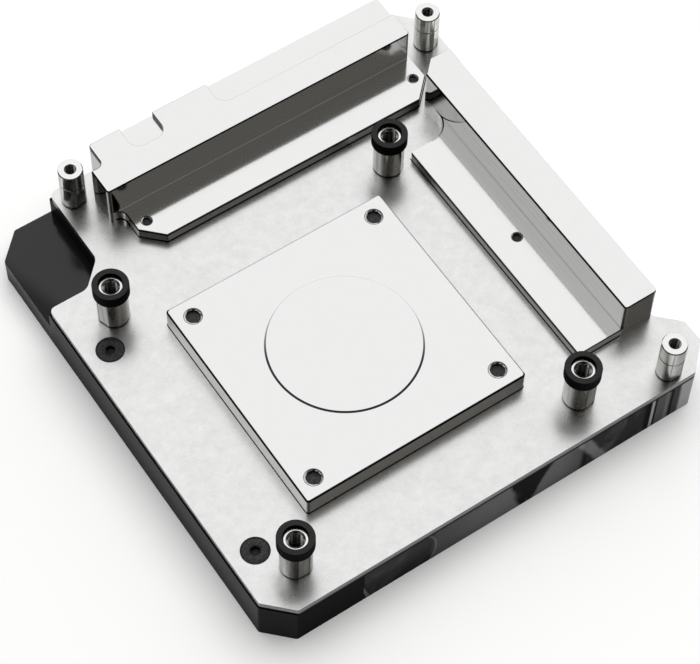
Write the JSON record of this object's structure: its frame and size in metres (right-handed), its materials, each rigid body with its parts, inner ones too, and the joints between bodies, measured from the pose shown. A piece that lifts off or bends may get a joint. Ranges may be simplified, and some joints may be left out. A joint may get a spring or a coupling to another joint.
{
  "type": "liquid cooling cold plate",
  "caption": "Full-cover liquid cooling block: metal contact plate with processor pedestal, raised cooling bars and threaded standoffs on a clear channelled manifold with two ports",
  "frame": {"origin": "on the resting plane, straight below the middle of the processor contact disc", "axes": "+Z out of the contact face, +Y from the processor towards the left bar along the back edge, +X from the side cover towards the right bar"},
  "size_m": [0.1187, 0.1211, 0.0269],
  "materials": {
    "nickel_base": "satin nickel plate with polished raised faces",
    "nickel_standoff": "turned and nickel plated",
    "black_plastic": "semi-gloss black",
    "dark_clear_plastic": "polished clear plastic that reads dark",
    "black_collar": "matt black",
    "black_steel": "black oxide",
    "steel_sheet": "plain",
    "black_rubber": "matt"
  },
  "bodies": {
    "root": {"cold_base": "nickel_base", "clear_top": "dark_clear_plastic", "side_cover": "black_plastic", "jet_plate": "steel_sheet", "chamber_seal": "black_rubber", "cover_screws": "black_steel", "pedestal_screws": "black_steel", "shelf_screws": "black_steel", "cpu_standoff_front": "nickel_standoff", "cpu_standoff_left": "nickel_standoff", "cpu_standoff_right": "nickel_standoff", "cpu_standoff_back": "nickel_standoff", "standoff_collar_front": "black_collar", "standoff_collar_left": "black_collar", "standoff_collar_right": "black_collar", "standoff_collar_back": "black_collar", "board_standoff_left": "nickel_standoff", "board_standoff_back": "nickel_standoff", "board_standoff_right": "nickel_standoff"}
  },
  "joints": []
}
